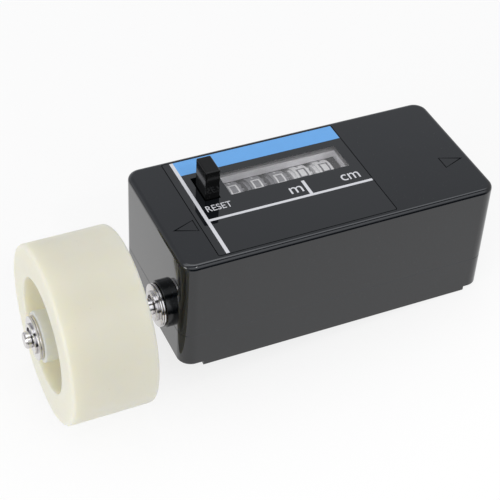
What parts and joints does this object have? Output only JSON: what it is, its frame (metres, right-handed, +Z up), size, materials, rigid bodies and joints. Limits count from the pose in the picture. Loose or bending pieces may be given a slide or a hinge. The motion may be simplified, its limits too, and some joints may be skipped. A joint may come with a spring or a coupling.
{
  "type": "fabric measuring meter",
  "caption": "Hand-held length counter for fabric: a case with figure wheels behind a window, a soft measuring wheel on an outboard shaft and a sprung reset lever.",
  "frame": {"origin": "middle of the footprint of the whole meter, on the surface it rests on, at the height of its lowest points", "axes": "+X along the case away from the measuring wheel, +Y from the front to the back, +Z up from the surface; the case leans down to +X because the wheel reaches lower than the case"},
  "size_m": [0.174, 0.073, 0.0679],
  "materials": {
    "black_plastic": "glossy moulded",
    "clear_label": "clear, printed on its back",
    "grey_plastic": "satin moulded",
    "soft_wheel": "cast, slightly clear",
    "bright_steel": "polished",
    "steel": "ground",
    "zinc_sheet": "zinc plated",
    "black_bush": "satin turned",
    "bronze": "turned",
    "brass_gear": "cut and turned",
    "white_plastic": "satin moulded",
    "dark_figures": "satin moulded",
    "spring_steel": "drawn wire"
  },
  "bodies": {
    "case": {"case_top": "black_plastic", "case_bottom": "black_plastic", "base_plate": "black_plastic", "case_screws": "steel", "label_plate": "clear_label", "window_bezel": "grey_plastic", "shaft_bush": "black_bush", "inner_bearing": "bronze", "counter_frame": "zinc_sheet", "frame_screws": "steel", "counter_shaft": "steel", "counter_shaft_clips": "spring_steel", "pinion_shaft": "steel", "pinion_shaft_clips": "spring_steel", "comb_rod": "steel", "comb_rod_clips": "spring_steel", "shaft_spacers": "steel", "idler_pin": "steel", "reset_spring": "spring_steel"},
    "measuring_wheel": {"measuring_wheel": "soft_wheel", "wheel_sleeve": "steel", "wheel_pin": "steel", "wheel_washers": "bright_steel", "main_shaft": "bright_steel", "shaft_rings": "bright_steel", "bush_washers": "bright_steel", "drive_gear": "brass_gear", "drive_gear_pin": "steel"},
    "idler": {"idler_gear": "white_plastic"},
    "counter_1cm": {"figure_wheel_1cm": "white_plastic", "counter_gear": "white_plastic"},
    "counter_10cm": {"figure_wheel_10cm": "white_plastic"},
    "counter_1m": {"figure_wheel_1m": "dark_figures"},
    "counter_10m": {"figure_wheel_10m": "dark_figures"},
    "counter_100m": {"figure_wheel_100m": "dark_figures"},
    "pinion_10cm": {"carry_pinion_10cm": "white_plastic"},
    "pinion_1m": {"carry_pinion_1m": "white_plastic"},
    "pinion_10m": {"carry_pinion_10m": "white_plastic"},
    "pinion_100m": {"carry_pinion_100m": "white_plastic"},
    "reset_lever": {"reset_lever": "black_plastic"},
    "reset_comb": {"reset_comb": "zinc_sheet"}
  },
  "joints": [
    {"name": "wheel_spin", "type": "hinge", "parent": "case", "child": "measuring_wheel", "pos_m": [-0.03557, -0.00471, 0.03022], "axis": [0.9956, 0, -0.0933], "continuous": true},
    {"name": "idler_spin", "type": "hinge", "parent": "case", "child": "idler", "pos_m": [0.03871, 0.01179, 0.02646], "axis": [0.9956, 0, -0.0933], "continuous": true},
    {"name": "counter_1cm_spin", "type": "hinge", "parent": "case", "child": "counter_1cm", "pos_m": [0.03559, 0.01654, 0.03716], "axis": [0.9956, 0, -0.0933], "continuous": true},
    {"name": "counter_10cm_spin", "type": "hinge", "parent": "case", "child": "counter_10cm", "pos_m": [0.02663, 0.01654, 0.038], "axis": [0.9956, 0, -0.0933], "continuous": true},
    {"name": "counter_1m_spin", "type": "hinge", "parent": "case", "child": "counter_1m", "pos_m": [0.01767, 0.01654, 0.03884], "axis": [0.9956, 0, -0.0933], "continuous": true},
    {"name": "counter_10m_spin", "type": "hinge", "parent": "case", "child": "counter_10m", "pos_m": [0.00871, 0.01654, 0.03968], "axis": [0.9956, 0, -0.0933], "continuous": true},
    {"name": "counter_100m_spin", "type": "hinge", "parent": "case", "child": "counter_100m", "pos_m": [-0.00025, 0.01654, 0.04052], "axis": [0.9956, 0, -0.0933], "continuous": true},
    {"name": "pinion_10cm_spin", "type": "hinge", "parent": "case", "child": "pinion_10cm", "pos_m": [0.02624, 0.00391, 0.03385], "axis": [0.9956, 0, -0.0933], "continuous": true},
    {"name": "pinion_1m_spin", "type": "hinge", "parent": "case", "child": "pinion_1m", "pos_m": [0.01728, 0.00391, 0.03469], "axis": [0.9956, 0, -0.0933], "continuous": true},
    {"name": "pinion_10m_spin", "type": "hinge", "parent": "case", "child": "pinion_10m", "pos_m": [0.00832, 0.00391, 0.03553], "axis": [0.9956, 0, -0.0933], "continuous": true},
    {"name": "pinion_100m_spin", "type": "hinge", "parent": "case", "child": "pinion_100m", "pos_m": [-0.00064, 0.00391, 0.03637], "axis": [0.9956, 0, -0.0933], "continuous": true},
    {"name": "reset_press", "type": "hinge", "parent": "case", "child": "reset_lever", "pos_m": [-0.01379, 0.01654, 0.04179], "axis": [-0.9956, 0, 0.0933], "range_deg": [0, 14], "stiffness_Nm_per_rad": 0.06, "springref_deg": -8.59},
    {"name": "comb_swing", "type": "hinge", "parent": "case", "child": "reset_comb", "pos_m": [-0.01501, 0.03054, 0.02885], "axis": [0.9956, 0, -0.0933], "range_deg": [0, 12.01]}
  ],
  "couplings": [
    {"joint": "idler_spin", "follows": "wheel_spin", "ratio": -1.8},
    {"joint": "counter_1cm_spin", "follows": "wheel_spin", "ratio": 2},
    {"joint": "counter_10cm_spin", "follows": "wheel_spin", "ratio": 0.2},
    {"joint": "counter_1m_spin", "follows": "wheel_spin", "ratio": 0.02},
    {"joint": "counter_10m_spin", "follows": "wheel_spin", "ratio": 0.002},
    {"joint": "counter_100m_spin", "follows": "wheel_spin", "ratio": 0.0002},
    {"joint": "pinion_10cm_spin", "follows": "wheel_spin", "ratio": -0.5},
    {"joint": "pinion_1m_spin", "follows": "wheel_spin", "ratio": -0.05},
    {"joint": "pinion_10m_spin", "follows": "wheel_spin", "ratio": -0.005},
    {"joint": "pinion_100m_spin", "follows": "wheel_spin", "ratio": -0.0005},
    {"joint": "comb_swing", "follows": "reset_press", "ratio": 0.857}
  ]
}
